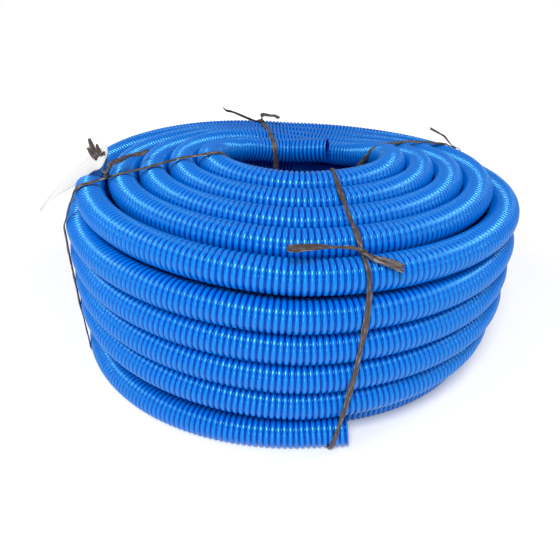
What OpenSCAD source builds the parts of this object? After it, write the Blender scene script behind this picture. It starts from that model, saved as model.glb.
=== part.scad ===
// Pool vacuum hose: one long ribbed hose, wound in a single run into a ring-shaped roll, with four film ties.
// Millimetres, +Z up. Origin: centre of the roll's eye, on the floor that the roll lies on.
// Angles are counted about Z from +X. The hose winds clockwise seen from above.

/* [Hose] */
// Inside diameter of the hose
hose_bore = 38; // [37.5:0.1:38.5]
// Wall of the hose, measured at a rib
hose_wall = 3.2; // [3:0.1:3.4]
// Height of a rib over the skin between two ribs
rib_height = 2.4; // [2:0.1:2.5]
// Distance from one rib to the next
rib_pitch = 7.8; // [7:0.1:8.4]
// Ribs on each cut end
end_ribs = 3; // [2:1:4]

/* [Roll] */
// Radius of the outer wall, to the middle of the hose
wall_radius = 345; // [342:0.5:350]
// Radius of the eye, to the middle of the hose
eye_radius = 144; // [141:0.5:147]
// Height of the innermost top turn, to the middle of the hose
top_height = 310; // [305:0.5:316]
// How far the inner top turns sag at the back
back_sag = 34; // [28:0.5:36]
// How far the wall rises at the left
left_rise = 20; // [14:0.5:22]
// How far the wall rises at the right
right_rise = 11; // [7:0.5:13]
// How far the outer wall is out of round, towards the left
left_bulge = 8.5; // [4:0.5:10]
// Heading of the straight inner end, from +X
inner_end_heading = -15; // [-18:0.5:-13]

/* [Ties] */
// Width of the film
tie_width = 7; // [5:0.5:9]
// Thickness of the folded film
tie_thick = 1.2; // [0.8:0.1:1.6]
// Gap between a tie and the turns that it holds
tie_slack = 0.9; // [0.8:0.1:1]
// Diameter of a knot
knot_width = 13; // [10:0.5:15]
// Length of a long tail
long_tail = 80; // [70:1:90]
// Length of a short tail
short_tail = 54; // [44:1:60]
// Length of the tail on the label
label_tail = 66; // [56:1:72]

/* [Label] */
// Length of the label
label_length = 140; // [100:1:150]
// Width of the label
label_width = 20; // [16:0.5:26]
// Thickness of the label
label_thick = 0.8; // [0.5:0.1:1.2]
// Play of the label's hole round the film
label_play = 0.7; // [0.4:0.1:0.9]

/* [Hidden] */

hose_od = hose_bore + 2 * hose_wall;
half_od = hose_od / 2;
turn_gap = 0.6;
pitch = hose_od + turn_gap;
flat_cut = hose_od / 10;
floor_height = half_od - flat_cut;
floor_clear = 0.1;
core_clear = 3;
bulge_radius = eye_radius + 1.25 * pitch;
sides = 6;
rings = 24;
start_angle = -90;
end_rise = 5;

hose_blue = "#1478e6";
film_brown = "#5c524b";
label_white = "#f4f4f2";

// The track: the path of the hose across one side of the roll, as [radius, height]. The hose runs in along
// the floor, up the eye, out under the top, down inside the wall, up the wall, and in over the top.
// Each corner: [radius, height, corner radius, spacing of the turns before it, spacing round it].
inner_radius = wall_radius - 1.71 * pitch;
low_height = floor_height + 0.98 * pitch;
corners = [
    [wall_radius - 0.03 * pitch, floor_height, 0, 0, 0],
    [eye_radius, floor_height, 1.11 * pitch, 1.09 * pitch, 1.12 * pitch],
    [eye_radius, top_height - 1.33 * pitch, 0.89 * pitch, 1.18 * pitch, 1.16 * pitch],
    [inner_radius, top_height - 1.64 * pitch, 1.02 * pitch, 1.16 * pitch, 1.17 * pitch],
    [inner_radius, low_height, 0.84 * pitch, 1.17 * pitch, 1.17 * pitch],
    [wall_radius, low_height, 0.37 * pitch, 1.37 * pitch, 1.19 * pitch],
    [wall_radius, top_height - 0.98 * pitch, 0.86 * pitch, 1.02 * pitch, 1.25 * pitch],
    [eye_radius - 0.36 * pitch, top_height, 0, 1.03 * pitch, 0]
];

function unit(v) = v / norm(v);
function angle_of(v) = atan2(v[1], v[0]);
function flat(v) = [v[0], v[1]];

// Points round the corner b of the path a, b, c
arc_steps = 6;
function corner_arc(a, b, c, radius) =
    let (
        to_a = unit(a - b),
        to_c = unit(c - b),
        half = acos(to_a * to_c) / 2,
        centre = b + unit(to_a + to_c) * radius / sin(half),
        first = angle_of(b + to_a * radius / tan(half) - centre),
        last = angle_of(b + to_c * radius / tan(half) - centre),
        turn = (last - first + 540) % 360 - 180
    )
    [
        for (i = [0:arc_steps])
            let (angle = first + turn * i / arc_steps)
            centre + radius * [cos(angle), sin(angle)]
    ];

// The track's points as [radius, height, spacing of the turns on the way here]. The first half turn hardly
// moves in, and the next half turn makes up for it.
last_corner = len(corners) - 1;
first_step = 0.02 * pitch;
track = [
    [corners[0][0], corners[0][1], pitch],
    [corners[0][0] - first_step, corners[0][1], 2 * first_step],
    [corners[0][0] - pitch, corners[0][1], 2 * (pitch - first_step)],
    for (k = [1:last_corner - 1])
        let (arc = corner_arc(flat(corners[k - 1]), flat(corners[k]), flat(corners[k + 1]), corners[k][2]))
        for (i = [0:len(arc) - 1]) [arc[i][0], arc[i][1], corners[k][i == 0 ? 3 : 4]],
    [corners[last_corner][0], corners[last_corner][1], corners[last_corner][3]]
];

// Turns made by the time that the hose reaches each point, stretched to end half a turn past the start
raw_turns = [
    for (i = 0, sum = 0; i < len(track);
        i = i + 1,
        sum = sum + (i < len(track) ? norm(flat(track[i]) - flat(track[i - 1])) / track[i][2] : 0))
        sum
];
raw_total = raw_turns[len(track) - 1];
turns = floor(raw_total - 0.5) + 0.5;
stretch = turns / raw_total;
radius_by_turn = [for (i = [0:len(track) - 1]) [raw_turns[i] * stretch, track[i][0]]];
height_by_turn = [for (i = [0:len(track) - 1]) [raw_turns[i] * stretch, track[i][1]]];

// How the roll lies in truth: wider at the left, its wall raised at both sides, its eye's rim sunk behind
sag_angle = 65;
inner_rise = 0.25;
full_rise = 1.2 * pitch;
soft_turn = 0.05;
function out_share(r) = max(0, (r - bulge_radius) / (wall_radius - bulge_radius));
function in_share(r) = (wall_radius - r) / (wall_radius - eye_radius);
function up_share(z) = (z - floor_height) / (top_height - floor_height);
function rise(r, z, a) =
    min(1, (z - floor_height) / full_rise)
    * (inner_rise + (1 - inner_rise) * out_share(r))
    * (cos(a) < 0 ? left_rise : right_rise)
    * (norm([cos(a), soft_turn]) - soft_turn);
function sag(r, z, a) = up_share(z) * in_share(r) * back_sag * pow(max(0, cos(a - sag_angle)), 3);
function lying_radius(r, a) = r + out_share(r) * left_bulge * (0.6 * cos(2 * a) - cos(a));
function lying_height(r, z, a) = z + rise(r, z, a) - sag(r, z, a);

// Where the middle of the hose is after some turns: angle, radius and height
function turn_angle(t) = start_angle - 360 * t;
function turn_radius(t) = lying_radius(lookup(t, radius_by_turn), turn_angle(t));
function turn_height(t) = lying_height(lookup(t, radius_by_turn), lookup(t, height_by_turn), turn_angle(t));

// Stations along the hose: [middle, outward, upward]. The straight ends run one hose diameter, and the outer
// one lifts a little to lie round, not flat, on the floor.
up = [0, 0, 1];
ring_count = turns * rings;
outer_mouth = [hose_od, -turn_radius(0), half_od + floor_clear];
inner_stop = [0, turn_radius(turns), turn_height(turns)];
inner_along = [
    cos(inner_end_heading) * cos(end_rise), sin(inner_end_heading) * cos(end_rise), sin(end_rise)
];
inner_out = [-sin(inner_end_heading), cos(inner_end_heading), 0];
inner_up = cross(inner_along, inner_out);
stations = [
    [outer_mouth, [0, -1, 0], up],
    for (i = [0:ring_count])
        let (t = i / rings, a = turn_angle(t), out = [cos(a), sin(a), 0])
        [turn_radius(t) * out + turn_height(t) * up, out, up],
    [inner_stop + hose_od * inner_along, inner_out, inner_up]
];

// A tube through the stations, with flat sides towards its neighbours and one edge on top
function tube_points(list) = [
    for (s = list, k = [0:sides - 1])
        let (a = 30 + 60 * k)
        s[0] + half_od * (cos(a) * s[1] + sin(a) * s[2])
];
function tube_faces(count) = [
    for (k = [1:sides - 2]) [0, k, k + 1],
    for (i = [0:count - 2], k = [0:sides - 1], second = [false, true])
        let (a = i * sides + k, b = i * sides + (k + 1) % sides)
        second ? [a, b + sides, b] : [a, a + sides, b + sides],
    for (k = [1:sides - 2]) [0, k + 1, k] + (count - 1) * sides * [1, 1, 1]
];

// Ties: [angle about Z, lean of its plane, place of its knot from one top turn to the next one out]. A tie's
// plane holds the radius at its angle, at middle_height.
middle_height = 150;
front_place = [-79.5, -9.5, 0.8];
left_place = [195, 0, 0.35];
back_place = [102.5, 0, 0.7];
right_place = [21, 0, 0.1];

// Where the turns cross a tie's plane, as [radius, height in the plane], from the outer end to the inner end
function plane_height(z, lean) = middle_height + (z - middle_height) / cos(lean);
function ray_crossing(angle, t) =
    let (
        i = min(max(floor(t * rings), -1), ring_count),
        from = stations[i + 1][0],
        to = stations[i + 2][0],
        side = [-sin(angle), cos(angle), 0],
        share = (from * side) / (from * side - to * side),
        at = from + share * (to - from)
    )
    [norm(flat(at)), at[2]];
// The plane leans about its radius, so a turn is met a little to one side of the tie's angle.
function sideways(place, z) = tan(place[1]) * (middle_height - z);
function crossing(place, t) =
    let (
        near = ray_crossing(place[0], t),
        drift = asin(sideways(place, near[1]) / near[0]),
        hit = ray_crossing(place[0] + drift, t - drift / 360)
    )
    [hit[0] * cos(drift), plane_height(hit[1], place[1])];
// The straight ends reach this far past the first and last turn
outer_reach = 0.034;
inner_reach = 0.07;
function crossings(place) =
    let (
        first = ((start_angle - place[0]) / 360 % 1 + 1) % 1,
        start = first > 1 - outer_reach ? -1 : 0
    )
    [for (k = [start:floor(turns + inner_reach - first)]) crossing(place, first + k)];
front_turns = crossings(front_place);
left_turns = crossings(left_place);
back_turns = crossings(back_place);
right_turns = crossings(right_place);

// Least gap of the hose to itself, between the flat sides of the turns in planes all round the roll
function side_gap(a, b) =
    max([for (k = [0:sides - 1]) [cos(60 * k), sin(60 * k)] * (b - a)]) - hose_od * cos(30);
function plane_gap(list) = min([
    for (i = [0:len(list) - 2], j = [i + 1:len(list) - 1]) side_gap(list[i], list[j])
]);
least_gap = min([for (angle = [-80, 70, 80, each [0:15:345]]) plane_gap(crossings([angle, 0]))]);
echo(str("turns ", turns, ", least gap of the hose to itself ", least_gap, " mm"));

// The film lies over the turns at this radius, and the film under the roll is this low in the tie's plane
tie_inside = half_od + tie_slack;
tie_outside = tie_inside + tie_thick;
tie_lift = 0.2;
function tie_bottom(place) = plane_height(tie_lift + tie_width / 2 * abs(sin(place[1])), place[1]);
groove_height = tie_lift + tie_thick + 1.6;
groove_side = 2;

// The knot lies on the film between the top turns four and five: [radius, height, slope of the outward line]
knot_row = 4;
function knot_spot(place, list) =
    let (
        a = list[len(list) - knot_row],
        b = list[len(list) - knot_row - 1],
        out = unit([a[1] - b[1], b[0] - a[0]]),
        at = a + place[2] * (b - a) + tie_outside * out
    )
    [at[0], at[1], angle_of(out)];

// The label lies in the plane that slopes down and out at 35 degrees, just clear of the film
label_slope = 55;
label_clear = 0.5;
label_out = [cos(label_slope), sin(label_slope)];
left_spot = knot_spot(left_place, left_turns);
label_over_turns = max([for (c = left_turns) c * label_out]) + tie_outside + label_clear;
label_over_knot = flat(left_spot) * label_out + 0.6 * knot_width;
label_level = max(label_over_turns, label_over_knot);
pin_length = label_level - flat(left_spot) * label_out;
pin_width = 5;
hole_width = pin_width + 2 * label_play;
label_above_hole = 22;

// A knot's bight is a ring; the film's tails leave it at the height of its middle
bight_radius = knot_width * 0.3;
bight_thick = knot_width * 0.3;
bight_height = knot_width * 0.22;
tail_thick = 0.6;
tail_gap = 0.3;
tail_start = bight_radius + bight_thick / 2 + tail_gap;

// The left tail over the label: a rim round its hole, and three frayed fingers
rim_width = 2;
finger_length = 34;
finger_width = 4;
finger_spread = 9;
left_tail_heading = 200;

module in_tie_plane(place)
    rotate([0, 0, place[0]])
        translate([0, 0, middle_height])
            rotate([place[1], 0, 0])
                translate([0, 0, -middle_height])
                    children();

// Cross-section of the roll in a tie's plane, swollen by a radius, and cut off at the floor
module roll_outline(list, radius, bottom)
    intersection() {
        hull()
            for (c = list)
                translate(c) circle(r = radius, $fn = 32);
        translate([0, bottom]) square([2 * wall_radius, 2 * top_height]);
    }

module tie(place, list)
    color(film_brown)
        in_tie_plane(place)
            rotate([90, 0, 0])
                linear_extrude(tie_width, center = true)
                    difference() {
                        roll_outline(list, tie_outside, tie_bottom(place));
                        roll_outline(list, tie_inside, tie_bottom(place) + tie_thick);
                    }

// Room under the floor turns, where a tie passes
module tie_groove(place)
    rotate([0, 0, place[0]])
        translate([0, sideways(place, 0) - tie_width / 2 - groove_side, -1])
            cube([wall_radius + hose_od, tie_width + 2 * groove_side, groove_height + 1]);

module under_floor()
    translate([-500, -500, -50])
        cube([1000, 1000, 50]);

// The wound hose, in one unbroken run, pressed flat where it lies on the floor
module hose_turns()
    color(hose_blue)
        difference() {
            polyhedron(tube_points(stations), tube_faces(len(stations)), convexity = 20);
            under_floor();
            for (place = [front_place, left_place, back_place, right_place])
                tie_groove(place);
        }

// The turns that lie hidden inside the roll, as one ring within the loop of the turns round them. The loop is
// taken where it lies lowest.
points_before_arcs = 3;
function first_of(corner) = points_before_arcs + (arc_steps + 1) * (corner - 1);
core_loop = [
    for (i = [first_of(1):first_of(4) - 1])
        [lying_radius(track[i][0], start_angle), track[i][1] - sag(track[i][0], track[i][1], sag_angle)],
    [lying_radius(inner_radius, start_angle), floor_height]
];
module hidden_turns()
    color(hose_blue)
        rotate_extrude($fn = 72)
            translate([0, tail_gap - core_clear])
                offset(delta = -half_od - core_clear)
                    polygon(core_loop);

// One rib of the hose wall, as a profile beside the axis
module rib_profile()
    polygon([
        [hose_bore / 2, 0],
        [half_od - rib_height, 0],
        [half_od - rib_height * 0.38, rib_pitch * 0.17],
        [half_od, rib_pitch * 0.34],
        [half_od, rib_pitch * 0.66],
        [half_od - rib_height * 0.38, rib_pitch * 0.83],
        [half_od - rib_height, rib_pitch],
        [hose_bore / 2, rib_pitch]
    ]);

// A cut end of the hose, open and ribbed, standing on Z
module ribbed_end()
    rotate_extrude($fn = 96)
        for (i = [0:end_ribs - 1])
            translate([0, i * rib_pitch])
                rib_profile();

module hose_outer_end()
    color(hose_blue)
        translate(outer_mouth)
            rotate([0, 90, 0])
                ribbed_end();

module hose_inner_end()
    color(hose_blue)
        translate(inner_stop + hose_od * inner_along)
            rotate([0, 90 - end_rise, inner_end_heading])
                ribbed_end();

// Puts things on a tie's knot: X along the roll, Y down the film and away from the eye, Z straight out
module on_knot(place, spot)
    in_tie_plane(place)
        translate([spot[0], 0, spot[1]])
            rotate([0, 90 - spot[2], 0])
                rotate([0, 0, -90])
                    children();

// A single knot in the film: a flat lump with the film's bight round it
module knot()
    translate([0, 0, tail_gap]) {
        cylinder(r = bight_radius, h = bight_height + bight_thick / 2, $fn = 32);
        translate([0, 0, bight_height])
            rotate_extrude($fn = 36)
                translate([bight_radius, 0])
                    circle(d = bight_thick, $fn = 16);
    }

// A film tail that leaves the knot: heading from +X, length, width at its cut end
module tail(heading, length, end_width)
    rotate([0, 0, heading])
        translate([tail_start, 0, tail_gap + bight_height])
            linear_extrude(tail_thick, center = true)
                polygon([
                    [0, -tie_width * 0.3],
                    [length * 0.6, -tie_width * 0.4],
                    [length, -end_width * 0.5],
                    [length * 0.96, 0],
                    [length, end_width * 0.5],
                    [length * 0.6, tie_width * 0.4],
                    [0, tie_width * 0.3]
                ]);

module front_tie() tie(front_place, front_turns);
module left_tie() tie(left_place, left_turns);
module back_tie() tie(back_place, back_turns);
module right_tie() tie(right_place, right_turns);

module front_knot()
    color(film_brown)
        on_knot(front_place, knot_spot(front_place, front_turns))
            knot();
module back_knot()
    color(film_brown)
        on_knot(back_place, knot_spot(back_place, back_turns))
            knot();
module right_knot()
    color(film_brown)
        on_knot(right_place, knot_spot(right_place, right_turns))
            knot();

// Frame at the label's hole: Z square to the label, Y down the label
module on_label_pin()
    in_tie_plane(left_place)
        translate([left_spot[0], 0, left_spot[1]])
            rotate([0, 90 - label_slope, 0])
                rotate([0, 0, -90])
                    children();

// The left knot, and the twisted film that goes up through the label's hole
module left_knot()
    color(film_brown) {
        on_knot(left_place, left_spot)
            knot();
        on_label_pin()
            translate([0, 0, bight_height])
                cylinder(d = pin_width, h = pin_length + label_thick + tail_gap - bight_height, $fn = 32);
    }

module front_tails()
    color(film_brown)
        on_knot(front_place, knot_spot(front_place, front_turns)) {
            tail(342, long_tail, 10);
            tail(151, short_tail, 6);
        }
module back_tails()
    color(film_brown)
        on_knot(back_place, knot_spot(back_place, back_turns)) {
            tail(170, long_tail, 6);
            tail(10, short_tail, 5);
        }
module right_tails()
    color(film_brown)
        on_knot(right_place, knot_spot(right_place, right_turns)) {
            tail(185, short_tail, 5);
            tail(10, short_tail, 5);
        }

// The tail over the label is split into three at its frayed tip
module left_tails()
    color(film_brown) {
        on_knot(left_place, left_spot)
            tail(left_tail_heading, label_tail, 7);
        on_label_pin()
            translate([0, 0, pin_length + label_thick + 2 * tail_gap])
                linear_extrude(tail_thick) {
                    circle(d = hole_width + 2 * rim_width, $fn = 32);
                    for (finger = [-1:1])
                        rotate([0, 0, left_tail_heading + finger_spread * finger])
                            translate([0, -finger_width / 2])
                                square([finger_length - 3 * abs(finger), finger_width]);
                }
    }

// The blank label, free to swing round the film through its hole
module label()
    color(label_white)
        on_label_pin()
            translate([0, 0, pin_length])
                linear_extrude(label_thick)
                    difference() {
                        translate([-label_width / 2, -label_above_hole])
                            square([label_width, label_length]);
                        circle(d = hole_width, $fn = 32);
                    }

hose_turns();
hidden_turns();
hose_outer_end();
hose_inner_end();
front_tie();
front_knot();
front_tails();
left_tie();
left_knot();
left_tails();
back_tie();
back_knot();
back_tails();
right_tie();
right_knot();
right_tails();
label();
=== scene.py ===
"""A roll of ribbed pool vacuum hose, tied with plastic film and hung with a blank label.

Metres, +Z up. The origin is the middle of the roll's eye, on the floor. Angles are counted about Z from +X,
and the hose winds clockwise seen from above, from its outer end on the floor to its inner end in the eye.
"""

from math import acos, atan2, cos, pi, radians, sin, tan

import bpy
import numpy as np
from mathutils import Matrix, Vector


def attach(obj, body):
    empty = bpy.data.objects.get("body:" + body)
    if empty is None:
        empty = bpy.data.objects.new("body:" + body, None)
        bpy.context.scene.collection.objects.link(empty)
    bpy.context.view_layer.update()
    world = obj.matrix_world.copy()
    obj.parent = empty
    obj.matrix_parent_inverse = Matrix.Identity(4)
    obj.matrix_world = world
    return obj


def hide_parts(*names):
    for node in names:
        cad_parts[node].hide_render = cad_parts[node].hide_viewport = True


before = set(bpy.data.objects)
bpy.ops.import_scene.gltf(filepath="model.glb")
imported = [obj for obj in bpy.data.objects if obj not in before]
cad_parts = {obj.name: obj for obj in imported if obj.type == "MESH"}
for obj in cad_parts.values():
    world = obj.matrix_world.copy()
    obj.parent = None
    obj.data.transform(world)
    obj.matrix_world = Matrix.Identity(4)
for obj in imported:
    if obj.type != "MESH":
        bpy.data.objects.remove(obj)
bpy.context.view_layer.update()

# ---- the hose ------------------------------------------------------------------------------------
HOSE_BORE = 0.038
HOSE_OD = 0.0444
RIB_HEIGHT = 0.0024
RIB_PITCH = 0.0078
HALF_OD = HOSE_OD / 2
PITCH = HOSE_OD + 0.0006  # spacing of two turns that touch
END_LENGTH = HOSE_OD + 3 * RIB_PITCH  # straight run at each cut end
FLOOR_CLEAR = 0.0004  # air between the hose and the floor

# ---- the roll ------------------------------------------------------------------------------------
WALL_RADIUS = 0.345
EYE_RADIUS = 0.144
TOP_HEIGHT = 0.310
FLOOR_HEIGHT = 0.4 * HOSE_OD  # less than half, because the lowest turns are pressed flat
BACK_SAG = 0.034
SAG_ANGLE = radians(65)
LEFT_RISE = 0.020
RIGHT_RISE = 0.011
RIGHT_TOP_LOSS = 0.6  # share of the rise that the top row on the right goes without
RISE_ONSET = 1.2 * PITCH  # height over which the rise sets in
RISE_SOFTENING = 0.05  # rounds the rise off where the left and the right side meet
BACK_RISE = 0.010
BACK_RISE_ANGLE = radians(115)
INNER_RISE = 0.25  # share of the rise that the turns round the eye take
LEFT_BULGE = 0.0085
OVAL_SHARE = 0.6  # share of the bulge that makes the roll oval
BULGE_RADIUS = EYE_RADIUS + 1.25 * PITCH
INNER_END_HEADING = radians(-15)
INNER_END_RISE = radians(5)
# The last third of a turn sags before its straight end: turns before the end, and share of the drop
END_DROP = 0.017
DROP_TURNS = [0, 0.03, 0.06, 0.10, 0.14, 0.19, 0.24, 0.29, 0.33]
DROP_SHARES = [0, 0.45, 0.80, 0.97, 1, 0.75, 0.35, 0.08, 0]
INNER_COLUMN = WALL_RADIUS - 1.71 * PITCH
LOW_HEIGHT = FLOOR_HEIGHT + 0.98 * PITCH

# The track across one side of the roll: radius, height, corner radius, spacing before the corner and
# round it. The last three are in hose pitches.
TRACK_CORNERS = [
    (WALL_RADIUS - 0.03 * PITCH, FLOOR_HEIGHT, 0, 0, 0),
    (EYE_RADIUS, FLOOR_HEIGHT, 1.11, 1.09, 1.12),
    (EYE_RADIUS, TOP_HEIGHT - 1.33 * PITCH, 0.89, 1.18, 1.16),
    (INNER_COLUMN, TOP_HEIGHT - 1.64 * PITCH, 1.02, 1.16, 1.17),
    (INNER_COLUMN, LOW_HEIGHT, 0.84, 1.17, 1.17),
    (WALL_RADIUS, LOW_HEIGHT, 0.37, 1.37, 1.19),
    (WALL_RADIUS, TOP_HEIGHT - 0.98 * PITCH, 0.86, 1.02, 1.25),
    (EYE_RADIUS - 0.36 * PITCH, TOP_HEIGHT, 0, 1.03, 0),
]
FIRST_STEP = 0.02 * PITCH  # the first half turn moves in by this, and the next makes it up to a pitch
START_POINTS = 3
ARC_STEPS = 6
# The deep turns run up and down in columns between the eye's wall and the outer wall
DEEP_COLUMNS = [0.1885, 0.2285, 0.268]
DEEP_TOP = 0.243
DEEP_BOTTOM = 0.056
DEEP_SPACING = 0.0455


def corner_arc(before, corner, after, radius):
    """Points round one corner of the track."""
    before, corner, after = (np.array(p[:2]) for p in (before, corner, after))
    back = (before - corner) / np.linalg.norm(before - corner)
    ahead = (after - corner) / np.linalg.norm(after - corner)
    half = acos(back @ ahead) / 2
    bisector = (back + ahead) / np.linalg.norm(back + ahead)
    centre = corner + bisector * radius / sin(half)
    first = corner + back * radius / tan(half) - centre
    last = corner + ahead * radius / tan(half) - centre
    start = atan2(first[1], first[0])
    turn = (atan2(last[1], last[0]) - start + 3 * pi) % (2 * pi) - pi
    angles = [start + turn * i / ARC_STEPS for i in range(ARC_STEPS + 1)]
    return [centre + radius * np.array([cos(a), sin(a)]) for a in angles]


def surface_track():
    """The track of the outer layer: radii, heights, and the turns made by each point."""
    start, height = TRACK_CORNERS[0][:2]
    points = [np.array((start - step, height)) for step in (0, FIRST_STEP, PITCH)]
    spacings = [1.0, 2 * FIRST_STEP / PITCH, 2 - 2 * FIRST_STEP / PITCH]
    for i, (_, _, radius, before, around) in enumerate(TRACK_CORNERS[1:-1], 1):
        arc = corner_arc(TRACK_CORNERS[i - 1], TRACK_CORNERS[i], TRACK_CORNERS[i + 1], radius * PITCH)
        points += arc
        spacings += [before] + [around] * (len(arc) - 1)
    points.append(np.array(TRACK_CORNERS[-1][:2]))
    spacings.append(TRACK_CORNERS[-1][3])
    points = np.array(points)
    steps = np.linalg.norm(np.diff(points, axis=0), axis=1) / (np.array(spacings[1:]) * PITCH)
    turns = np.concatenate([[0], np.cumsum(steps)])
    whole = int(turns[-1] - 0.5) + 0.5
    return points[:, 0], points[:, 1], turns * whole / turns[-1]


def whole_track():
    """The outer layer's track with the deep columns put in where it would only cut across.

    Gives radii, heights, the turns made by each point, and the turn at which the deep columns end.
    """
    radius, height, turn = surface_track()
    arc_points = ARC_STEPS + 1
    leave = START_POINTS + arc_points + 1  # second point of the arc at the top of the eye's wall
    join = START_POINTS + 4 * arc_points - 1  # last point of the arc at the foot of the inner column
    deep = [(radius[leave], height[leave])]
    for i, column in enumerate(DEEP_COLUMNS):
        ends = (DEEP_TOP, DEEP_BOTTOM) if i % 2 == 0 else (DEEP_BOTTOM, DEEP_TOP)
        deep += [(column, ends[0]), (column, ends[1])]
    deep.append((radius[join], height[join]))
    deep = np.array(deep)
    run = np.concatenate([[0], np.cumsum(np.linalg.norm(np.diff(deep, axis=0), axis=1))])
    extra = round(run[-1] / DEEP_SPACING - (turn[join] - turn[leave]))
    deep_turns = turn[leave] + run / run[-1] * (turn[join] - turn[leave] + extra)
    return (
        np.concatenate([radius[:leave], deep[:-1, 0], radius[join:]]),
        np.concatenate([height[:leave], deep[:-1, 1], height[join:]]),
        np.concatenate([turn[:leave], deep_turns[:-1], turn[join:] + extra]),
        turn[join] + extra,
    )


TRACK_RADIUS, TRACK_HEIGHT, TRACK_TURN, DEEP_END = whole_track()
TURNS = TRACK_TURN[-1]


def hose_middle(turn):
    """Middle of the hose after so many turns, as an array of points."""
    turn = np.asarray(turn, float)
    angle = -pi / 2 - 2 * pi * turn
    radius = np.interp(turn, TRACK_TURN, TRACK_RADIUS)
    height = np.interp(turn, TRACK_TURN, TRACK_HEIGHT)
    out_share = np.maximum(0, (radius - BULGE_RADIUS) / (WALL_RADIUS - BULGE_RADIUS))
    in_share = (WALL_RADIUS - radius) / (WALL_RADIUS - EYE_RADIUS)
    up_share = (height - FLOOR_HEIGHT) / (TOP_HEIGHT - FLOOR_HEIGHT)
    side_rise = np.where(np.cos(angle) < 0, LEFT_RISE, RIGHT_RISE * (1 - RIGHT_TOP_LOSS * up_share**3))
    rise = side_rise * (np.hypot(np.cos(angle), RISE_SOFTENING) - RISE_SOFTENING)
    row_share = INNER_RISE + (1 - INNER_RISE) * out_share
    rise *= np.minimum(1, (height - FLOOR_HEIGHT) / RISE_ONSET) * row_share
    rise += BACK_RISE * out_share * up_share * np.maximum(0, np.cos(angle - BACK_RISE_ANGLE)) ** 2
    sag = up_share * in_share * BACK_SAG * np.maximum(0, np.cos(angle - SAG_ANGLE)) ** 3
    sag = sag + END_DROP * np.interp(TURNS - turn, DROP_TURNS, DROP_SHARES)
    swell = OVAL_SHARE * np.cos(2 * angle) - np.cos(angle)
    radius = radius + out_share * (1 - up_share**3) * LEFT_BULGE * swell
    height = height + rise - sag
    return np.stack([radius * np.cos(angle), radius * np.sin(angle), height], axis=-1)


# ---- colours and finishes ------------------------------------------------------------------------
def linear(colour):
    """An sRGB hex colour as linear values."""
    channels = [int(colour[i : i + 2], 16) / 255 for i in (1, 3, 5)]
    return [c / 12.92 if c <= 0.04045 else ((c + 0.055) / 1.055) ** 2.4 for c in channels] + [1.0]


def add_node(owner, kind, settings=(), inputs=(), links=()):
    """Adds a node to a material or world: settings, values on its inputs, links from other outputs."""
    node = owner.node_tree.nodes.new(kind)
    for name, value in dict(settings).items():
        setattr(node, name, value)
    for name, value in dict(inputs).items():
        node.inputs[name].default_value = value
    for name, socket in dict(links).items():
        owner.node_tree.links.new(socket, node.inputs[name])
    return node


def new_material(name, colour, roughness, **inputs):
    """A material with one Principled shader, which it returns too."""
    material = bpy.data.materials.new(name)
    material.use_nodes = True
    shader = material.node_tree.nodes["Principled BSDF"]
    shader.inputs["Base Color"].default_value = linear(colour)
    shader.inputs["Roughness"].default_value = roughness
    for socket, value in inputs.items():
        shader.inputs[socket.replace("_", " ")].default_value = value
    material.diffuse_color = linear(colour)
    return material, shader


# Sockets of a Mix node that mixes colours
MIX_FIRST = 6
MIX_SECOND = 7
MIX_RESULT = 2

AZURE = "#0077DE"
# deep blue painted into the grooves and the open bore as shade
GROOVE_SHADE_BLUE = "#00289A"
GLINT_CYAN = "#80EAFF"
FILM_BASE = "#44382F"
FILM_BROWN = "#40352D"
# pale colour painted on the creases as a sheen
PAINTED_FILM_SHEEN = "#90858F"
CREASES_PER_MM = (0.9, 0.07, 1.0)  # across the film, along it and through it
# crease heights between which the painted sheen fades in
CREASE_SHEEN_SHARES = {"From Min": 0.50, "From Max": 0.72}
CREASE_DEPTH = 0.0008
LABEL_WHITE = "#D8D8D6"


def blue_eva():
    """EVA hose, extruded and wound hot: clear azure and glossy on each rib, with painted shade: the grooves
    and the open bore are painted deep blue, where light can't reach.

    Its reflections are twice as strong as the default and cyan, so that each rib glints in a paler blue.
    """
    tint = linear(GLINT_CYAN)
    material, shader = new_material(
        "blue_eva_hose", AZURE, 0.25, IOR=1.5, Specular_IOR_Level=1.0, Specular_Tint=tint
    )
    # Painted shade: the grooves between the ribs and the open bore are painted deep blue, as if shaded.
    groove_shade_mask = add_node(material, "ShaderNodeAttribute", {"attribute_name": "painted_groove_shade"})
    shade = add_node(
        material,
        "ShaderNodeMix",
        {"data_type": "RGBA"},
        {MIX_FIRST: linear(AZURE), MIX_SECOND: linear(GROOVE_SHADE_BLUE)},
        {"Factor": groove_shade_mask.outputs["Fac"]},
    )
    material.node_tree.links.new(shade.outputs[MIX_RESULT], shader.inputs["Base Color"])
    return material


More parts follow.
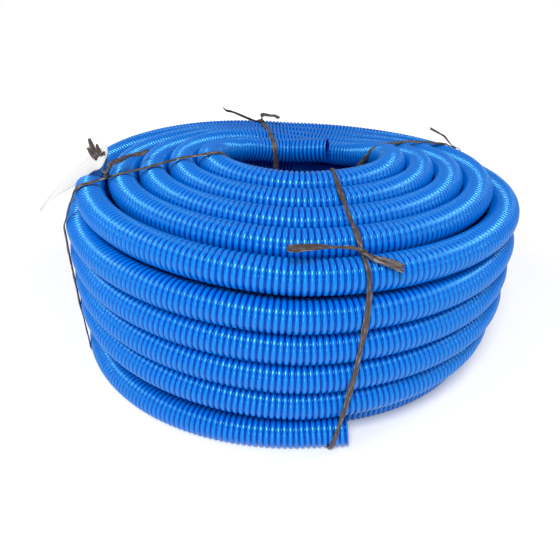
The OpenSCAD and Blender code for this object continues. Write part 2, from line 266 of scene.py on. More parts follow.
def stretch_film():
    """Polyethylene stretch film, rolled into a strap: dark brown grey, with bumped creases that run along
    it and a painted sheen, a pale colour painted on the creases where they would catch the light."""
    material, shader = new_material("rolled_stretch_film", FILM_BASE, 0.34, IOR=1.5)
    place = add_node(material, "ShaderNodeAttribute", {"attribute_name": "film_mm"})
    stretched = add_node(
        material,
        "ShaderNodeMapping",
        inputs={"Scale": CREASES_PER_MM},
        links={"Vector": place.outputs["Vector"]},
    )
    creases = add_node(
        material,
        "ShaderNodeTexNoise",
        inputs={"Scale": 1.0, "Detail": 3.0},
        links={"Vector": stretched.outputs["Vector"]},
    )
    share = add_node(
        material,
        "ShaderNodeMapRange",
        {"interpolation_type": "SMOOTHSTEP"},
        CREASE_SHEEN_SHARES,
        {"Value": creases.outputs["Fac"]},
    )
    # Painted sheen: the tops of the creases are painted pale, as if they caught the light.
    colour = add_node(
        material,
        "ShaderNodeMix",
        {"data_type": "RGBA"},
        {MIX_FIRST: linear(FILM_BROWN), MIX_SECOND: linear(PAINTED_FILM_SHEEN)},
        {"Factor": share.outputs["Result"]},
    )
    bump = add_node(
        material,
        "ShaderNodeBump",
        inputs={"Strength": 0.6, "Distance": CREASE_DEPTH},
        links={"Height": creases.outputs["Fac"]},
    )
    material.node_tree.links.new(colour.outputs[MIX_RESULT], shader.inputs["Base Color"])
    material.node_tree.links.new(bump.outputs["Normal"], shader.inputs["Normal"])
    return material


def blank_label():
    """Synthetic paper label, uncoated and blank: flat white."""
    return new_material("synthetic_paper_label", LABEL_WHITE, 0.6)[0]


BLUE_EVA = blue_eva()
FILM = stretch_film()
PAPER = blank_label()


# ---- camera, light and floor ---------------------------------------------------------------------
CAMERA_PLACE = (-0.0243, -0.8492, 0.5450)
CAMERA_DIP = 29.32  # degrees below the horizon
LENS_MM = 32.68
LIGHT_AIM = (0, 0, 0.15)
SOFTBOXES = {  # place, size across and watts
    "key_softbox": ((-0.3, -1.7, 2.2), 0.75, 48),
    "low_softbox": ((-0.3, -3.2, 0.9), 0.6, 20),
    "side_softbox": ((1.7, 0.3, 1.5), 0.9, 9),
    "left_softbox": ((-1.7, 0.2, 1.6), 0.9, 8),
}
WORLD_LIGHT = 0.30  # strength with which the white world lights the roll
WORLD_SEEN = 1.0  # and with which the camera sees it
FLOOR_SIZE = 60
FLOOR_GLOW = 0.78  # lifts the far floor to white in the camera's view
NEAR_GLOW = 0.2 * FLOOR_GLOW  # left near the roll, where the shadow lies
GLOW_START = 0.5  # distances from the roll's middle between which the glow grows
GLOW_END = 2.0


def place_camera():
    """The camera looks down at the front of the roll."""
    camera = bpy.data.objects.new("camera", bpy.data.cameras.new("camera"))
    bpy.context.scene.collection.objects.link(camera)
    camera.location = CAMERA_PLACE
    camera.rotation_euler = (radians(90 - CAMERA_DIP), 0, 0)
    camera.data.lens = LENS_MM
    camera.data.clip_start = 0.01
    bpy.context.scene.camera = camera


def area_light(name, place, size, watts):
    """A soft box that shines at the roll."""
    lamp = bpy.data.lights.new(name, "AREA")
    lamp.shape = "DISK"
    lamp.size = size
    lamp.energy = watts
    light = bpy.data.objects.new(name, lamp)
    light.location = place
    aim = Vector(LIGHT_AIM) - Vector(place)
    light.rotation_euler = aim.to_track_quat("-Z", "Y").to_euler()
    bpy.context.scene.collection.objects.link(light)


def white_world():
    """A white world that the camera sees brighter than it lights the roll."""
    world = bpy.data.worlds.new("studio")
    bpy.context.scene.world = world
    world.use_nodes = True
    background = world.node_tree.nodes["Background"]
    rays = add_node(world, "ShaderNodeLightPath")
    strength = add_node(
        world,
        "ShaderNodeMix",
        inputs={"A": WORLD_LIGHT, "B": WORLD_SEEN},
        links={"Factor": rays.outputs["Is Camera Ray"]},
    )
    world.node_tree.links.new(strength.outputs["Result"], background.inputs["Strength"])
    background.inputs["Color"].default_value = (1, 1, 1, 1)


def pale_floor():
    """White paper floor: it keeps the roll's shadow, and glows for the camera further out."""
    bpy.ops.mesh.primitive_plane_add(size=FLOOR_SIZE)
    floor = bpy.context.object
    floor.name = "studio_floor"
    material, shader = new_material("studio_paper", "#F7F7F7", 0.8, Emission_Color=(1, 1, 1, 1))
    rays = add_node(material, "ShaderNodeLightPath")
    place = add_node(material, "ShaderNodeTexCoord")
    away = add_node(
        material, "ShaderNodeVectorMath", {"operation": "LENGTH"}, links={0: place.outputs["Object"]}
    )
    fade = add_node(
        material,
        "ShaderNodeMapRange",
        {"interpolation_type": "SMOOTHSTEP"},
        {"From Min": GLOW_START, "From Max": GLOW_END, "To Min": NEAR_GLOW, "To Max": FLOOR_GLOW},
        {"Value": away.outputs["Value"]},
    )
    glow = add_node(
        material,
        "ShaderNodeMath",
        {"operation": "MULTIPLY"},
        links={0: rays.outputs["Is Camera Ray"], 1: fade.outputs["Result"]},
    )
    material.node_tree.links.new(glow.outputs[0], shader.inputs["Emission Strength"])
    floor.data.materials.append(material)


place_camera()
for softbox, (place, size, watts) in SOFTBOXES.items():
    area_light(softbox, place, size, watts)
white_world()
bpy.ops.object.select_all(action="DESELECT")
pale_floor()
bpy.context.scene.view_settings.view_transform = "Standard"


# ---- the hose's mesh -----------------------------------------------------------------------------
# One rib from crest to crest: share of its pitch, and share of its height over the groove
RIB_PROFILE = np.array([
    (0.13, 1.0), (0.25, 0.88), (0.33, 0.60), (0.40, 0.0), (0.60, 0.0), (0.67, 0.60), (0.75, 0.88),
    (0.87, 1.0)
])
WALL_SIDES = 24
DEEP_SIDES = 8
BORE_RIBS = 26  # ribs that the open bore runs in behind a cut end
MOUTH_DROP = 0.4 * RIB_HEIGHT  # a cut end's rim stands this far under the crests
POINTS_PER_TURN = 240
CORD_STEP = 0.02  # spacing of points along a stretch's path


def new_object(name, points, faces, material, sharp_rings=(), sides=1):
    """An object at the origin with smooth faces; the edges round the given rings of points stay sharp."""
    mesh = bpy.data.meshes.new(name)
    mesh.from_pydata(np.asarray(points).tolist(), [], faces)
    mesh.materials.append(material)
    mesh.shade_smooth()
    if len(sharp_rings):
        ends = np.empty(len(mesh.edges) * 2, dtype=np.int32)
        mesh.edges.foreach_get("vertices", ends)
        ring = ends.reshape(-1, 2) // sides
        sharp = (ring[:, 0] == ring[:, 1]) & np.isin(ring[:, 0], sharp_rings)
        mesh.attributes.new("sharp_edge", "BOOLEAN", "EDGE").data.foreach_set("value", sharp)
    piece = bpy.data.objects.new(name, mesh)
    bpy.context.scene.collection.objects.link(piece)
    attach(piece, "roll")
    return piece


def tube_faces(count, sides, loop=False):
    """Faces of a tube through rings of equally many points: a loop, or with both ends closed."""
    ring = np.arange(count if loop else count - 1)[:, None] * sides
    following = (ring + sides) % (count * sides)
    side = np.arange(sides)[None, :]
    after = (side + 1) % sides
    quads = np.stack([ring + side, following + side, following + after, ring + after], axis=-1)
    quads = quads.reshape(-1, 4).tolist()
    if loop:
        return quads
    return quads + [list(range(sides)), list(range((count - 1) * sides, count * sides))[::-1]]


def run_lengths(points):
    """Distance along a path at each of its points."""
    return np.concatenate([[0], np.cumsum(np.linalg.norm(np.diff(points, axis=0), axis=1))])


def points_at(points, run, at):
    """Points of a path at these distances along it, from its points and their own distances."""
    return np.stack([np.interp(at, run, points[:, i]) for i in range(points.shape[1])], axis=1)


def along_path(points, at):
    """Points at these distances along a path, with the ways to its left and down at each."""
    run = run_lengths(points)
    step = HOSE_OD / 10
    ahead = points_at(points, run, np.minimum(at + step, run[-1]))
    behind = points_at(points, run, np.maximum(at - step, 0))
    along = (ahead - behind) / np.linalg.norm(ahead - behind, axis=1)[:, None]
    left = np.stack([-along[:, 1], along[:, 0], 0 * at], axis=1)
    left /= np.linalg.norm(left, axis=1)[:, None]
    return points_at(points, run, at), left, np.cross(left, along)


def hose_stretch(name, points, profile=RIB_PROFILE, sides=WALL_SIDES, open_end=False):
    """One stretch of the hose along the points.

    Its skin follows the profile rib by rib, and at an open end it turns back in along the bore.
    """
    length = run_lengths(points)[-1]
    ribs = round(length / RIB_PITCH)
    at = np.concatenate([[0], (np.arange(ribs)[:, None] + profile[:, 0]).ravel(), [ribs]]) * length / ribs
    radii = HALF_OD - RIB_HEIGHT * (1 - np.concatenate([[1], np.tile(profile[:, 1], ribs), [1]]))
    middles, left, down = along_path(points, at)
    sharp = [0, len(middles) - 1]
    if open_end:
        back = np.arange(len(middles))[::-1][: BORE_RIBS * len(profile)]
        middles, left, down = (np.concatenate([a, a[back]]) for a in (middles, left, down))
        radii[sharp[1]] = HALF_OD - MOUTH_DROP
        radii = np.concatenate([radii, np.full(len(back), HOSE_BORE / 2)])
        sharp += [sharp[1] + 1, len(middles) - 1]
    turn = 2 * pi * np.arange(sides) / sides
    ring = np.cos(turn)[None, :, None] * left[:, None] + np.sin(turn)[None, :, None] * down[:, None]
    rings = middles[:, None] + radii[:, None, None] * ring
    rings[..., 2] = np.maximum(rings[..., 2], FLOOR_CLEAR)  # pressed flat on the floor
    piece = new_object(name, rings.reshape(-1, 3), tube_faces(len(rings), sides), BLUE_EVA, sharp, sides)
    # Painted shade: how deep each ring lies in a groove, or in the bore, sets how much deep blue is painted
    # there.
    painted_groove_shade = piece.data.attributes.new("painted_groove_shade", "FLOAT", "POINT")
    painted_groove_shade.data.foreach_set("value", np.repeat((HALF_OD - radii) / RIB_HEIGHT, sides).clip(0, 1))
    along_path(points, np.linspace(0, length, 2 + round(length / CORD_STEP)))[0].tolist()
    return piece


def turn_points(start, end):
    """Points along the hose's middle from one count of turns to another."""
    return hose_middle(np.linspace(start, end, 2 + round((end - start) * POINTS_PER_TURN)))


OUTER_MOUTH = np.array([END_LENGTH, hose_middle(0)[1], HALF_OD + FLOOR_CLEAR])
INNER_ALONG = np.array([
    cos(INNER_END_HEADING) * cos(INNER_END_RISE),
    sin(INNER_END_HEADING) * cos(INNER_END_RISE),
    sin(INNER_END_RISE),
])
INNER_MOUTH = hose_middle(TURNS) + END_LENGTH * INNER_ALONG

# The hose is built in stretches that meet on a crest. The counts of turns at which they meet end in a half,
# which is at the back, except for two places that other turns hide.
FLOOR_END = 3.5
EYE_MEETING = 6
EYE_END = 8.5
WALL_MEETINGS = [DEEP_END, 25.5, 26.5, 27.5, 28.5]
TOP_MEETING = 30.5
hose = [
    hose_stretch(
        "hose_floor_turns",
        np.concatenate([turn_points(0, FLOOR_END)[::-1], [OUTER_MOUTH]]),
        open_end=True,
    ),
    hose_stretch("hose_eye_wall_low", turn_points(FLOOR_END, EYE_MEETING)),
    hose_stretch("hose_eye_wall_high", turn_points(EYE_MEETING, EYE_END)),
    hose_stretch(
        "hose_deep_turns",
        turn_points(EYE_END, DEEP_END),
        profile=RIB_PROFILE[:1],
        sides=DEEP_SIDES,
    ),
]
for i, (start, end) in enumerate(zip(WALL_MEETINGS, WALL_MEETINGS[1:]), 1):
    hose.append(hose_stretch(f"hose_outer_wall_{i}", turn_points(start, end)))
hose.append(hose_stretch("hose_top_outer", turn_points(WALL_MEETINGS[-1], TOP_MEETING)))
hose.append(
    hose_stretch(
        "hose_top_inner",
        np.concatenate([turn_points(TOP_MEETING, TURNS), [INNER_MOUTH]]),
        open_end=True,
    )
)
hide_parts("hose_turns", "hose_outer_end")
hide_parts("hidden_turns")
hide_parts("hose_inner_end")


# ---- the film ties -------------------------------------------------------------------------------
TIE_THICK = 0.0013
TIE_OFF = 0.0007  # air between a tie and the crests that it lies on
TIE_STEP = 0.004
TIE_SIDES = 48  # points round the hose where a tie bends over it
FILM_CLEAR = 0.0002  # air between the film and the floor
FILM_POINTS = 11  # points across a strip of film
LONG_WAVE = 0.017  # the film's width comes and goes over these lengths
SHORT_WAVE = 0.007
KNOT_PINCH = 0.4  # share of its width that a tie loses at its knot
PINCH_LENGTH = 0.016
KNOT_LIFT = 0.0028
FOLDS = 4
FOLD_WIDTH = 0.1  # as a share of the film's width
FOLD_LIMIT = 1.2
SECTION_MIDDLE = (0.24, 0.15)  # middle of the roll's cut face, out from the eye's middle and up
HOSE_RUN = np.concatenate([[OUTER_MOUTH], turn_points(0, TURNS), [INNER_MOUTH]])


def tie_crossings(angle, lean, aside):
    """Where the hose goes through a tie's plane: distance out and height along the plane."""
    out = HOSE_RUN @ [cos(angle), sin(angle), 0]
    beside = HOSE_RUN @ [-sin(angle), cos(angle), 0]
    beside = beside + (HOSE_RUN[:, 2] - SECTION_MIDDLE[1]) * tan(lean) - aside
    at = np.flatnonzero((beside[:-1] * beside[1:] <= 0) & (out[:-1] > 0))
    share = beside[at] / (beside[at] - beside[at + 1])
    out = out[at] + share * (out[at + 1] - out[at])
    height = HOSE_RUN[at, 2] + share * (HOSE_RUN[at + 1, 2] - HOSE_RUN[at, 2])
    return np.stack([out, SECTION_MIDDLE[1] + (height - SECTION_MIDDLE[1]) / cos(lean)], axis=1)


def turns_left(first, second, third):
    """Whether a way over three points in a plane turns left at the second."""
    ahead = (second[0] - first[0]) * (third[1] - first[1])
    return ahead > (second[1] - first[1]) * (third[0] - first[0])


def convex_outline(points):
    """The convex outline round points in a plane, counter-clockwise."""
    ordered = sorted(map(tuple, points))
    halves = []
    for walk in (ordered, ordered[::-1]):
        half = []
        for p in walk:
            while len(half) > 1 and not turns_left(half[-2], half[-1], p):
                half.pop()
            half.append(p)
        halves += half[:-1]
    return np.array(halves)


def tie_loop(angle, lean, aside, sway):
    """A tie's taut path round the roll: points, ways out from the hose, and bearings round the cut face.

    The sway lists how far the film strays to the side, in mm, at some bearings in degrees.
    """
    bends = np.linspace(0, 2 * pi, TIE_SIDES, endpoint=False)
    round_hose = (HALF_OD + TIE_OFF) * np.array([(cos(a), sin(a)) for a in bends])
    middles = tie_crossings(angle, lean, aside)
    outline = convex_outline((middles[:, None] + round_hose[None]).reshape(-1, 2))
    outline = np.concatenate([outline, outline[:1]])
    run = run_lengths(outline)
    at = np.linspace(0, run[-1], round(run[-1] / TIE_STEP), endpoint=False)
    flat = points_at(outline, run, at)
    flat[:, 1] = np.maximum(flat[:, 1], FLOOR_CLEAR)
    ahead = np.roll(flat, -1, axis=0) - np.roll(flat, 1, axis=0)
    ahead /= np.linalg.norm(ahead, axis=1)[:, None]
    bearing = np.degrees(np.arctan2(flat[:, 1] - SECTION_MIDDLE[1], flat[:, 0] - SECTION_MIDDLE[0]))
    bearings, asides = zip(*sway)
    stray = aside + 0.001 * np.interp(bearing, bearings, asides)
    to_out = np.array([cos(angle), sin(angle), 0])
    to_side = np.array([-sin(angle), cos(angle), 0])
    to_top = np.array([0, 0, cos(lean)]) - sin(lean) * to_side
    points = flat[:, :1] * to_out + (flat[:, 1:] - SECTION_MIDDLE[1]) * to_top + stray[:, None] * to_side
    points[:, 2] += SECTION_MIDDLE[1]
    return points, ahead[:, 1:] * to_out - ahead[:, :1] * to_top, bearing


def film_piece(name, middles, outward, along, widths, heights, depths, jag=None):
    """A strip of film: a height over the middle line for each point across, and a depth under that.

    With a jag for each point across it has two ends, the last one torn. Without, it is a closed loop.
    """
    sideways = np.cross(outward, along)
    count = heights.shape[1]
    across = np.linspace(-0.5, 0.5, count)
    flat = middles[:, None] + (widths[:, None] * across)[..., None] * sideways[:, None]
    if jag is not None:
        flat[-1] += jag[:, None] * along[-1]
    top = flat + heights[..., None] * outward[:, None]
    under = flat + (heights - depths)[..., None] * outward[:, None]
    rings = np.concatenate([top, under[:, ::-1]], axis=1)
    rings[..., 2] = np.maximum(rings[..., 2], FILM_CLEAR)
    faces = tube_faces(len(rings), 2 * count, jag is None)
    piece = new_object(name, rings.reshape(-1, 3), faces, FILM)
    there_and_back = np.concatenate([across, across[::-1]])[None, :]
    aside = 1000 * widths[:, None] * there_and_back
    run = run_lengths(middles)[:, None]
    place = np.stack(np.broadcast_arrays(aside, 1000 * run, 0 * run), axis=-1)
    film_mm = piece.data.attributes.new("film_mm", "FLOAT_VECTOR", "POINT")
    film_mm.data.foreach_set("vector", place.ravel())
    return piece


def film_folds(at, across, seed):
    """Lengthwise folds that wander from side to side and fade in and out, from 0 to the fold limit."""
    chance = np.random.default_rng(seed)
    folds = np.zeros((len(at), len(across)))
    for _ in range(FOLDS):
        phase = chance.uniform(0, 2 * pi, 3)
        middle = 0.34 * np.sin(at / chance.uniform(0.03, 0.06) + phase[0])
        middle = middle + 0.12 * np.sin(at / 0.011 + phase[1])
        strength = 0.6 + 0.4 * np.sin(at / chance.uniform(0.012, 0.03) + phase[2])
        folds += strength[:, None] * np.exp(-(((across[None] - middle[:, None]) / FOLD_WIDTH) ** 2))
    return np.minimum(FOLD_LIMIT, folds)


def tie(side, angle, lean, aside, sway, knot_bearing, width, seed):
    """One film tie. Gives back the middle of its knot and the ways across, along and outward there."""
    points, outward, bearing = tie_loop(radians(angle), radians(lean), aside, sway)
    along = np.roll(points, -1, axis=0) - np.roll(points, 1, axis=0)
    along /= np.linalg.norm(along, axis=1)[:, None]
    knot = int(np.argmin(np.abs(bearing - knot_bearing)))
    at = np.arange(len(points)) * TIE_STEP
    from_knot = np.abs((at - at[knot] + at[-1] / 2) % (at[-1] + TIE_STEP) - at[-1] / 2)
    widths = width * (1 + 0.17 * np.sin(at / LONG_WAVE + seed) + 0.1 * np.sin(at / SHORT_WAVE))
    widths *= 1 - KNOT_PINCH * np.exp(-((from_knot / PINCH_LENGTH) ** 2))
    across = np.linspace(-0.5, 0.5, FILM_POINTS)
    edge = np.sqrt(1 - (1.9 * across) ** 2)
    folds = film_folds(at, across, seed)
    heights = TIE_THICK * (0.25 + 0.35 * edge[None] + 1.3 * edge[None] * folds)
    piece = film_piece(f"{side}_film_tie", points, outward, along, widths, heights, heights)
    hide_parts(f"{side}_tie")
    middle = points[knot] + KNOT_LIFT * outward[knot]
    return middle, np.cross(outward[knot], along[knot]), along[knot], outward[knot]


# How far each tie strays to its side, in mm, at bearings round the cut face in degrees
FRONT_SWAY = [
    (-180, 0), (-52, 2), (-31, 5), (-4, 5), (10, 3), (30, 0), (39, -3), (45, -7), (51, -11), (60, -12),
    (78, -13), (100, -10), (125, -4), (150, 0), (180, 0)
]
LEFT_SWAY = [
    (-180, 0), (0, 0), (25, 8), (54, 14), (62, 14), (70, 9), (76, 4), (88, 2), (104, -8), (119, 2),
    (150, 0), (180, 0)
]
BACK_SWAY = [(-180, 0), (0, 0), (75, 2), (105, 6), (127, 12), (140, 9), (160, 0), (180, 0)]
RIGHT_SWAY = [
    (-180, 0), (30, 0), (59, -5), (75, 9), (91, 13), (105, 0), (117, -10), (124, 0), (129, 18), (134, 32),
    (155, 20), (180, 0)
]
front_knot = tie("front", -79.5, -9.5, 0, FRONT_SWAY, 56, 0.0072, 3)
left_knot = tie("left", 195, 0, 0.040, LEFT_SWAY, 70, 0.009, 8)
back_knot = tie("back", 102.5, 0, 0, BACK_SWAY, 75, 0.0095, 5)
right_knot = tie("right", 21, 0, 0, RIGHT_SWAY, 60, 0.010, 11)


# A knot's middle line is a trefoil, drawn in units of which a knot's width holds so many
KNOT_UNITS = 9.2
STRAND_RADIUS = 1.12
STRAND_LIFT = 0.95
KNOT_STEPS = 120
STRAND_SIDES = 14


def film_knot(side, knot, width, seed):
    """A tight overhand knot: one crumpled strand that runs through itself."""
    middle, across, along, outward = knot
    chance = np.random.default_rng(seed)
    phase = chance.uniform(0, 2 * pi, 4)
    turn = np.linspace(0, 2 * pi, KNOT_STEPS, endpoint=False)
    size = width / KNOT_UNITS
    flat = np.stack([np.sin(turn) + 2 * np.sin(2 * turn), np.cos(turn) - 2 * np.cos(2 * turn)], axis=1)
    flat = flat * size
    lift = -STRAND_LIFT * size * np.sin(3 * turn)
    path = middle + flat[:, :1] * across + flat[:, 1:] * along + lift[:, None] * outward
    step = np.roll(path, -1, axis=0) - np.roll(path, 1, axis=0)
    step /= np.linalg.norm(step, axis=1)[:, None]
    first = np.cross(step, outward)
    first /= np.linalg.norm(first, axis=1)[:, None]
    second = np.cross(step, first)
    bend = 2 * pi * np.arange(STRAND_SIDES) / STRAND_SIDES
    crumple = 1 + 0.14 * np.sin(5 * bend[None] + 3 * turn[:, None] + phase[0])
    crumple += 0.1 * np.sin(3 * bend[None] - 7 * turn[:, None] + phase[1])
    radius = STRAND_RADIUS * size * crumple * (1 + 0.1 * np.sin(4 * turn + phase[2]))[:, None]
    rings = path[:, None] + radius[..., None] * (
        np.cos(bend)[None, :, None] * second[:, None] + np.sin(bend)[None, :, None] * first[:, None]
    )
    faces = tube_faces(KNOT_STEPS, STRAND_SIDES, True)
    piece = new_object(f"{side}_film_knot", rings.reshape(-1, 3), faces, FILM)
    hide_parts(f"{side}_knot")


film_knot("front", front_knot, 0.013, 1)
film_knot("left", left_knot, 0.012, 2)
film_knot("back", back_knot, 0.0125, 3)
film_knot("right", right_knot, 0.0115, 4)


# ---- the film's tails ----------------------------------------------------------------------------
TAIL_STEPS = 6
TAIL_FOLD_RATE = 1.5  # a tail's folds wander so much quicker than a tie's
TAIL_THICK = 0.0005
TEAR_STEP = 0.0008


def smooth_line(points, per_span):
    """A smooth run through all the points, with so many steps from each to the next."""
    points = np.array(points, float)
    before = np.concatenate([[2 * points[0] - points[1]], points[:-2]])
    after = np.concatenate([points[2:], [2 * points[-1] - points[-2]]])
    step = (np.arange(per_span) / per_span)[None, :, None]
    p0, p1, p2, p3 = before[:, None], points[:-1, None], points[1:, None], after[:, None]
    bend = 2 * p0 - 5 * p1 + 4 * p2 - p3 + step * (3 * (p1 - p2) + p3 - p0)
    run = p1 + 0.5 * step * (p2 - p0 + step * bend)
    return np.concatenate([run.reshape(-1, points.shape[1]), points[-1:]])


def film_tail(name, place, shape, fold, seed):
    """A loose tail with a torn end.

    Each entry of the shape: across, along and outward from the place in mm, width in mm, roll in degrees.
    """
    middle, across, along, outward = place
    chance = np.random.default_rng(seed)
    shape = smooth_line(shape, TAIL_STEPS)
    path = middle + 0.001 * (shape[:, :1] * across + shape[:, 1:2] * along + shape[:, 2:3] * outward)
    step = np.gradient(path, axis=0)
    step /= np.linalg.norm(step, axis=1)[:, None]
    side = np.cross(outward, step)
    side /= np.linalg.norm(side, axis=1)[:, None]
    up = np.cross(step, side)
    roll = np.radians(shape[:, 4:5])
    outward = up * np.cos(roll) - side * np.sin(roll)
    across_film = np.linspace(-0.5, 0.5, FILM_POINTS)
    heights = 0.001 * fold * film_folds(run_lengths(path) * TAIL_FOLD_RATE, across_film, seed)
    depths = np.full_like(heights, TAIL_THICK)
    jag = TEAR_STEP * chance.uniform(-3, 3, FILM_POINTS)
    return film_piece(name, path, outward, step, 0.001 * shape[:, 3], heights, depths, jag)


# The label hangs from the twisted tail of the left tie: down its length, to its side, and up from its face
LABEL_PIVOT = np.array([-0.30755, -0.08241, 0.32734])
LABEL_BEARING = radians(195)
LABEL_SLOPE = radians(55)
LABEL_OUT = np.array([cos(LABEL_BEARING), sin(LABEL_BEARING), 0])
LABEL_DOWN = sin(LABEL_SLOPE) * LABEL_OUT - np.array([0, 0, cos(LABEL_SLOPE)])
LABEL_UP = cos(LABEL_SLOPE) * LABEL_OUT + np.array([0, 0, sin(LABEL_SLOPE)])
LABEL_SIDE = np.cross(LABEL_UP, LABEL_DOWN)
LABEL_PLACE = (LABEL_PIVOT, LABEL_DOWN, LABEL_SIDE, LABEL_UP)
# The frayed film runs up through the label's hole, so its own length is the label's way up
FRAYED_PLACE = (LABEL_PIVOT, LABEL_DOWN, LABEL_UP, LABEL_SIDE)

# Each tail's place, the node that it replaces, how high its folds stand in mm, and its shape
TAILS = {
    "front_tail_long": (
        front_knot, "front_tails", 1.3,
        [(-2, 0, 1, 5, 0), (12, 3, 3, 7, 10), (30, 2, 5, 7.5, 30), (49, 0, 7, 11, 20), (67, -2, 7, 13, 10),
         (85, -4, 6, 13.5, 10), (93, -4, 6, 11.5, 10)],
    ),
    "front_tail_short": (
        front_knot, None, 1.6,
        [(2, 0, 1, 5, 0), (-9, -12, 4, 8, 20), (-23, -19, 6, 10, 30), (-38, -28, 7, 11, 30)],
    ),
    "left_tail_ribbon": (
        left_knot, "left_tails", 1.4,
        [(-3, 2, 1, 4, 0), (-7, 1, 8, 5, 30), (-7, 7, 15, 6, 60), (-2, 15, 17, 7, 60), (6, 25, 15, 7.5, 60),
         (22, 38, 13, 6.5, 50), (30, 50, 11, 5, 60), (31, 61, 9, 8, 40), (40, 76, 8, 4, 60)],
    ),
    "left_tail_twist": (
        FRAYED_PLACE, None, 1.0,
        [(-7, -20, 48, 5, 0), (-3, -17, 30, 6, 20), (-5, -17, 8, 5, 60), (-9, -14, -8, 5, 60),
         (-9, -7, -6, 3.5, 30), (-9, -6, 1, 3.5, 0)],
    ),
    "left_tail_finger_long": (
        FRAYED_PLACE, None, 1.6,
        [(-9, -7, 6, 7, 0), (-8, 1, 7, 9, 0), (-9, 10, 4, 9, 10), (-12, 18, 2, 7, 10),
         (-15, 25, 1, 4.5, 10)],
    ),
    "left_tail_finger_middle": (
        FRAYED_PLACE, None, 1.4,
        [(-7, -7, 7, 5, 0), (-4, 1, 8, 6, 10), (-3, 9, 6, 5.5, 10), (-5, 18, 4, 3.5, 20)],
    ),
    "left_tail_finger_short": (
        FRAYED_PLACE, None, 1.4,
        [(-11, -7, 7, 5, 0), (-12, 0, 8, 7, -10), (-15, 6, 6, 6, -10), (-18, 13, 4, 4, -10)],
    ),
    "left_tail_lobe": (
        FRAYED_PLACE, None, 1.0,
        [(-10, -7, 7, 3, 0), (-14, -5, 8, 6, 0), (-18, -1, 7, 4, 0)],
    ),
    "back_tail_long": (
        back_knot, "back_tails", 1.2,
        [(2, 0, 0, 4, 0), (-11, -1, 0, 6, 40), (-29, -8, 6, 6.5, 60), (-46, -15, 13, 6.5, 60),
         (-62, -21, 19, 7, 55), (-74, -24, 22, 6, 60), (-80, -28, 28, 1.5, 80)],
    ),
    "back_tail_short": (
        back_knot, None, 1.4,
        [(0, 1, 0, 7, 90), (-1, -2, 8, 10, 90), (3, -4, 13, 8, 70), (18, -1, 11, 6, 60),
         (28, 1, 10, 6.5, 60), (36, 4, 6, 8, 50)],
    ),
    "right_tail_long": (
        right_knot, "right_tails", 0.8,
        [(0, 0, 0, 3.5, 0), (-7, 14, 5, 3.5, 40), (-10, 23, 8, 3.5, 60), (-15, 34, 8, 3.5, 60),
         (-22, 51, 7, 4.5, 60)],
    ),
    "right_tail_short": (
        right_knot, None, 1.0,
        [(0, 0, 0, 4, 0), (6, -6, 2, 5, 10), (7, -14, 0, 5, 20), (6, -22, -4, 5, 20)],
    ),
}
for seed, (name, (place, node, fold, shape)) in enumerate(TAILS.items()):
    tail = film_tail(name, place, shape, fold, seed)
    if node:
        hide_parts(node)
    if "finger" in name or "lobe" in name:
        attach(tail, "label")  # past the label's hole the torn film goes along with the label


# ---- the label -----------------------------------------------------------------------------------
LABEL_THICK = 0.00035
LABEL_CURL = 0.0012
LABEL_WAVE = 0.0006
# Both long edges of the label in its own frame, in mm: its top faces sideways, and it twists flat towards
# its tip
UPPER_EDGE = [
    (-29, -4, 3), (-11, -4, 5), (9, -2, 6), (30, 1, 6), (50, 4, 6), (69, 7, 4), (84, 9, 1), (98, 10, -1),
    (112, 10, -4)
]
LOWER_EDGE = [
    (-20, 4, -8), (-2, 22, -13), (13, 14, -11), (31, 12, -11), (50, 12, -10), (67, 14, -7), (82, 18, -4),
    (97, 22, -3), (111, 24, -6)
]
LABEL_STEPS = 6
LABEL_ACROSS = 10
HOLE_SQUARES = 3  # the hole takes the place of so many squares each way, from this row and column on
HOLE_ROW = 6
HOLE_COLUMN = 3
HOLE_RADIUS = 0.0024


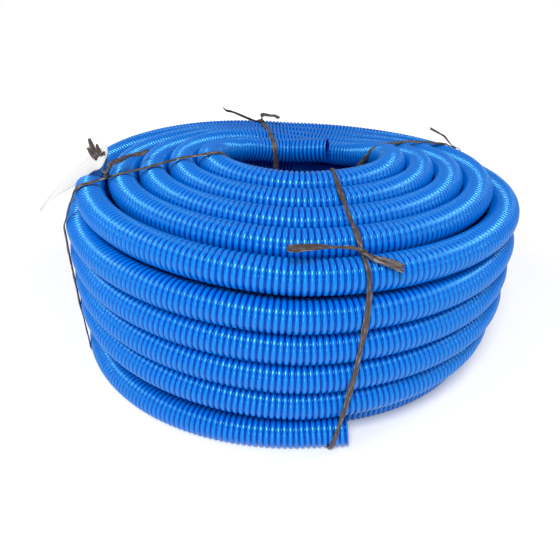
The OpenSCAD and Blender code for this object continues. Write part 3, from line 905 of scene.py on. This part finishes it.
def label():
    """The blank strip of the label with its round hole, front and back and the rims between."""
    middle, down, side, up = LABEL_PLACE
    upper, lower = smooth_line(UPPER_EDGE, LABEL_STEPS), smooth_line(LOWER_EDGE, LABEL_STEPS)
    share = np.linspace(0, 1, LABEL_ACROSS + 1)[None, :, None]
    grid = upper[:, None] * (1 - share) + lower[:, None] * share
    grid = middle + 0.001 * (grid[..., :1] * down + grid[..., 1:2] * side + grid[..., 2:] * up)
    normal = np.cross(np.gradient(grid, axis=0), np.gradient(grid, axis=1))
    normal /= np.linalg.norm(normal, axis=-1)[..., None]
    rows, columns = grid.shape[:2]
    curl = LABEL_CURL * np.sin(pi * share[..., 0]) + LABEL_WAVE * np.sin(np.arange(rows) / 5)[:, None]
    grid = grid + curl[..., None] * normal
    number = np.arange(rows * columns).reshape(rows, columns)
    last_row, last_column = HOLE_ROW + HOLE_SQUARES, HOLE_COLUMN + HOLE_SQUARES
    patch = number[HOLE_ROW : last_row + 1, HOLE_COLUMN : last_column + 1]
    around = [*patch[0, :-1], *patch[:-1, -1], *patch[-1, :0:-1], *patch[:0:-1, 0]]
    outline = [*number[0, :-1], *number[:-1, -1], *number[-1, :0:-1], *number[:0:-1, 0]]
    rim = grid.reshape(-1, 3)[around]
    hole_middle = rim.mean(axis=0)
    spokes = (rim - hole_middle) / np.linalg.norm(rim - hole_middle, axis=1)[:, None]
    front = np.concatenate([grid.reshape(-1, 3), hole_middle + HOLE_RADIUS * spokes])
    hole_normal = normal[HOLE_ROW + 1, HOLE_COLUMN + 1]
    offset = np.concatenate([normal.reshape(-1, 3), np.tile(hole_normal, (len(around), 1))]) * LABEL_THICK
    total = len(front)
    hole = list(range(rows * columns, total))
    quads = [
        (number[i, j], number[i + 1, j], number[i + 1, j + 1], number[i, j + 1])
        for i in range(rows - 1)
        for j in range(columns - 1)
        if not (HOLE_ROW <= i < last_row and HOLE_COLUMN <= j < last_column)
    ]
    turned = np.roll(around, -1)
    hole_turned = np.roll(hole, -1)
    quads += list(zip(around, hole, hole_turned, turned))
    faces = quads + [tuple(total + p for p in quad[::-1]) for quad in quads]
    outline_turned = np.roll(outline, -1)
    faces += [(a, b, total + b, total + a) for a, b in zip(outline, outline_turned)]
    faces += [(b, a, total + a, total + b) for a, b in zip(hole, hole_turned)]
    faces = [tuple(map(int, face)) for face in faces]
    piece = new_object("blank_label", np.concatenate([front, front - offset]), faces, PAPER)
    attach(piece, "label")
    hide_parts("label")


label()
